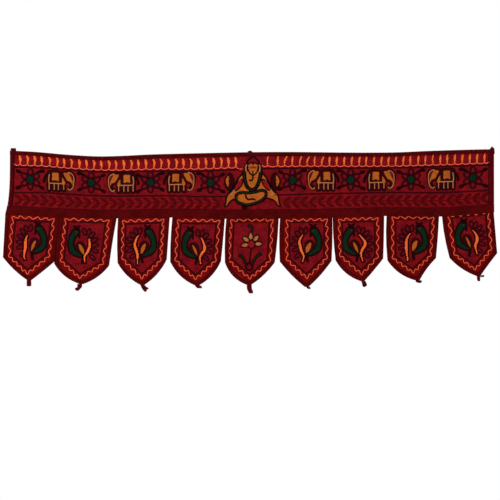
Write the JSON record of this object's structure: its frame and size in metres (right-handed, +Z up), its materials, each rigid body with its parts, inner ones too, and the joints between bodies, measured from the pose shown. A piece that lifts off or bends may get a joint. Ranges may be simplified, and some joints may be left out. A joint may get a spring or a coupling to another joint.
{
  "type": "toran door hanging",
  "caption": "Embroidered toran door hanging: a long cotton band with a row of pointed flags, taped edges, tape tails at the points and small hanging loops along its top edge",
  "frame": {"origin": "the middle of the top edge, on the cloth's middle surface, where the toran is held up", "axes": "+X along the band to the right as seen from the front, +Z up, the embroidered front faces -Y"},
  "size_m": [0.987, 0.0205, 0.2951],
  "materials": {
    "crimson_cotton": "matt woven cotton, crimson, thickly embroidered",
    "maroon_tape": "matt cotton tape, dark maroon",
    "orange_thread": "stranded embroidery thread, soft sheen, orange",
    "ochre_thread": "stranded embroidery thread, soft sheen, ochre",
    "green_thread": "stranded embroidery thread, soft sheen, bottle green",
    "dark_thread": "stranded embroidery thread, soft sheen, dark plum"
  },
  "bodies": {
    "root": {"band_panel": "crimson_cotton", "binding_top": "maroon_tape", "binding_left": "maroon_tape", "binding_right": "maroon_tape", "joining_strip": "maroon_tape", "flag_panel_1": "crimson_cotton", "flag_binding_1": "maroon_tape", "flag_tail_1": "maroon_tape", "flag_panel_2": "crimson_cotton", "flag_binding_2": "maroon_tape", "flag_tail_2": "maroon_tape", "flag_panel_3": "crimson_cotton", "flag_binding_3": "maroon_tape", "flag_tail_3": "maroon_tape", "flag_panel_4": "crimson_cotton", "flag_binding_4": "maroon_tape", "flag_tail_4": "maroon_tape", "flag_panel_5": "crimson_cotton", "flag_binding_5": "maroon_tape", "flag_tail_5": "maroon_tape", "flag_panel_6": "crimson_cotton", "flag_binding_6": "maroon_tape", "flag_tail_6": "maroon_tape", "flag_panel_7": "crimson_cotton", "flag_binding_7": "maroon_tape", "flag_tail_7": "maroon_tape", "flag_panel_8": "crimson_cotton", "flag_binding_8": "maroon_tape", "flag_tail_8": "maroon_tape", "flag_panel_9": "crimson_cotton", "flag_binding_9": "maroon_tape", "flag_tail_9": "maroon_tape", "loop_left": "maroon_tape", "loop_centre": "maroon_tape", "loop_right": "maroon_tape"}
  },
  "joints": []
}
